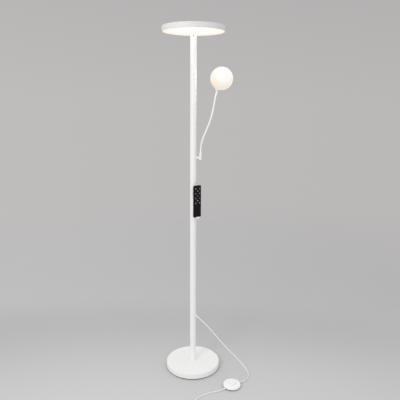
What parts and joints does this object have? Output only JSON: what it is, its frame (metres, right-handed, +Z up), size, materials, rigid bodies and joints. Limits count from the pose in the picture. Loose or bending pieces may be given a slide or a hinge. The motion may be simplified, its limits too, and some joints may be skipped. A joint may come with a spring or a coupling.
{
  "type": "floor lamp",
  "caption": "Slim white torchiere floor lamp with a flat round lit head, a flexible reading light with a glass globe, a remote in a cradle and a foot switch on its cord.",
  "frame": {"origin": "centre of the base's underside, on the floor and on the pole's axis", "axes": "+Z up along the pole, +X towards the reading light, -Y towards the remote control and the viewer"},
  "size_m": [0.458, 0.6086, 1.8],
  "materials": {
    "white_paint": "satin white powder coat",
    "white_neck": "satin white sleeve over the wound steel tube",
    "pad_foam": "dark closed-cell foam",
    "zinc_steel": "zinc-plated steel",
    "black_steel": "blackened steel",
    "concrete": "cast concrete",
    "head_opal": "opal acrylic, lit from above",
    "board_white": "white solder mask on an aluminium board",
    "driver_case": "moulded white casing",
    "lead_sheath": "white lead sheath",
    "cord_white": "white cord sheath",
    "tie_white": "white plastic strap",
    "white_plastic": "fine matt moulded plastic",
    "globe_opal": "opal glass, lit from inside",
    "porcelain": "white porcelain",
    "bulb_lit": "frosted lit bulb",
    "remote_black": "fine matt black plastic",
    "board_green": "green circuit board",
    "button_black": "dark rubber key with a grey mark",
    "pin_nickel": "nickel-plated brass"
  },
  "bodies": {
    "lamp": {"base_cover": "white_paint", "pole_lower": "white_paint", "pole_middle": "white_paint", "pole_upper": "white_paint", "head_housing": "white_paint", "head_hub": "white_paint", "arm_stub": "white_paint", "arm_ferrule": "white_paint", "neck_link_1": "white_neck", "base_pad": "pad_foam", "base_plate": "zinc_steel", "base_screws": "zinc_steel", "foot_bolt": "zinc_steel", "head_screws": "zinc_steel", "arm_nut": "zinc_steel", "pole_couplers": "zinc_steel", "switch_spring": "zinc_steel", "head_set_screw": "black_steel", "base_weight": "concrete", "head_diffuser": "head_opal", "led_board": "board_white", "led_driver": "driver_case", "switch_module": "driver_case", "inner_leads": "lead_sheath", "cord_to_switch": "cord_white", "cord_to_coil": "cord_white", "cord_coil": "cord_white", "cord_tail": "cord_white", "cord_bushing": "cord_white", "switch_reliefs": "cord_white", "cord_tie": "tie_white", "remote_cradle": "white_plastic", "switch_base": "white_plastic", "switch_shell": "white_plastic", "plug_body": "white_plastic", "plug_pins": "pin_nickel"},
    "arm_link_1": {"neck_link_2": "white_neck"},
    "arm_link_2": {"neck_link_3": "white_neck"},
    "arm_link_3": {"neck_link_4": "white_neck"},
    "arm_link_4": {"neck_link_5": "white_neck"},
    "reading_light": {"neck_link_6": "white_neck", "socket_cup": "white_paint", "lamp_holder": "porcelain", "bulb": "bulb_lit", "globe": "globe_opal"},
    "remote": {"remote_shell": "remote_black", "remote_back": "remote_black", "remote_board": "board_green"},
    "foot_button": {"switch_button": "white_plastic"},
    "key_left_1": {"key_left_1": "button_black"},
    "key_right_1": {"key_right_1": "button_black"},
    "key_left_2": {"key_left_2": "button_black"},
    "key_right_2": {"key_right_2": "button_black"},
    "key_left_3": {"key_left_3": "button_black"},
    "key_right_3": {"key_right_3": "button_black"},
    "key_left_4": {"key_left_4": "button_black"},
    "key_right_4": {"key_right_4": "button_black"},
    "key_middle_1": {"key_middle_1": "button_black"},
    "key_middle_2": {"key_middle_2": "button_black"},
    "key_middle_3": {"key_middle_3": "button_black"}
  },
  "joints": [
    {"name": "neck_bend_1", "type": "hinge", "parent": "lamp", "child": "arm_link_1", "pos_m": [0.03914, 0, 1.2236], "axis": [0, 1, 0], "range_deg": [-3, 35]},
    {"name": "neck_sway_2", "type": "hinge", "parent": "arm_link_1", "child": "arm_link_2", "pos_m": [0.05606, 0, 1.2845], "axis": [0.9185, 0, -0.3954], "range_deg": [-35, 35]},
    {"name": "neck_bend_3", "type": "hinge", "parent": "arm_link_2", "child": "arm_link_3", "pos_m": [0.08065, 0, 1.34292], "axis": [0, 1, 0], "range_deg": [-3, 35]},
    {"name": "neck_sway_4", "type": "hinge", "parent": "arm_link_3", "child": "arm_link_4", "pos_m": [0.09756, 0, 1.40396], "axis": [0.9805, 0, -0.1967], "range_deg": [-35, 35]},
    {"name": "neck_bend_5", "type": "hinge", "parent": "arm_link_4", "child": "reading_light", "pos_m": [0.10837, 0, 1.46643], "axis": [0, 1, 0], "range_deg": [-14, 35]},
    {"name": "remote_lift", "type": "slide", "parent": "lamp", "child": "remote", "axis": [0, 0, 1], "range_m": [0, 0.17]},
    {"name": "press_left_1", "type": "slide", "parent": "remote", "child": "key_left_1", "axis": [-0.6157, 0.788, 0], "range_m": [0, 0.0008], "stiffness_N_per_m": 300},
    {"name": "press_right_1", "type": "slide", "parent": "remote", "child": "key_right_1", "axis": [-0.6157, 0.788, 0], "range_m": [0, 0.0008], "stiffness_N_per_m": 300},
    {"name": "press_left_2", "type": "slide", "parent": "remote", "child": "key_left_2", "axis": [-0.6157, 0.788, 0], "range_m": [0, 0.0008], "stiffness_N_per_m": 300},
    {"name": "press_right_2", "type": "slide", "parent": "remote", "child": "key_right_2", "axis": [-0.6157, 0.788, 0], "range_m": [0, 0.0008], "stiffness_N_per_m": 300},
    {"name": "press_left_3", "type": "slide", "parent": "remote", "child": "key_left_3", "axis": [-0.6157, 0.788, 0], "range_m": [0, 0.0008], "stiffness_N_per_m": 300},
    {"name": "press_right_3", "type": "slide", "parent": "remote", "child": "key_right_3", "axis": [-0.6157, 0.788, 0], "range_m": [0, 0.0008], "stiffness_N_per_m": 300},
    {"name": "press_left_4", "type": "slide", "parent": "remote", "child": "key_left_4", "axis": [-0.6157, 0.788, 0], "range_m": [0, 0.0008], "stiffness_N_per_m": 300},
    {"name": "press_right_4", "type": "slide", "parent": "remote", "child": "key_right_4", "axis": [-0.6157, 0.788, 0], "range_m": [0, 0.0008], "stiffness_N_per_m": 300},
    {"name": "press_middle_1", "type": "slide", "parent": "remote", "child": "key_middle_1", "axis": [-0.6157, 0.788, 0], "range_m": [0, 0.0008], "stiffness_N_per_m": 300},
    {"name": "press_middle_2", "type": "slide", "parent": "remote", "child": "key_middle_2", "axis": [-0.6157, 0.788, 0], "range_m": [0, 0.0008], "stiffness_N_per_m": 300},
    {"name": "press_middle_3", "type": "slide", "parent": "remote", "child": "key_middle_3", "axis": [-0.6157, 0.788, 0], "range_m": [0, 0.0008], "stiffness_N_per_m": 300},
    {"name": "foot_press", "type": "slide", "parent": "lamp", "child": "foot_button", "axis": [0, 0, -1], "range_m": [0, 0.0025], "stiffness_N_per_m": 600, "springref_m": -0.001, "deforming": ["switch_spring"]}
  ]
}
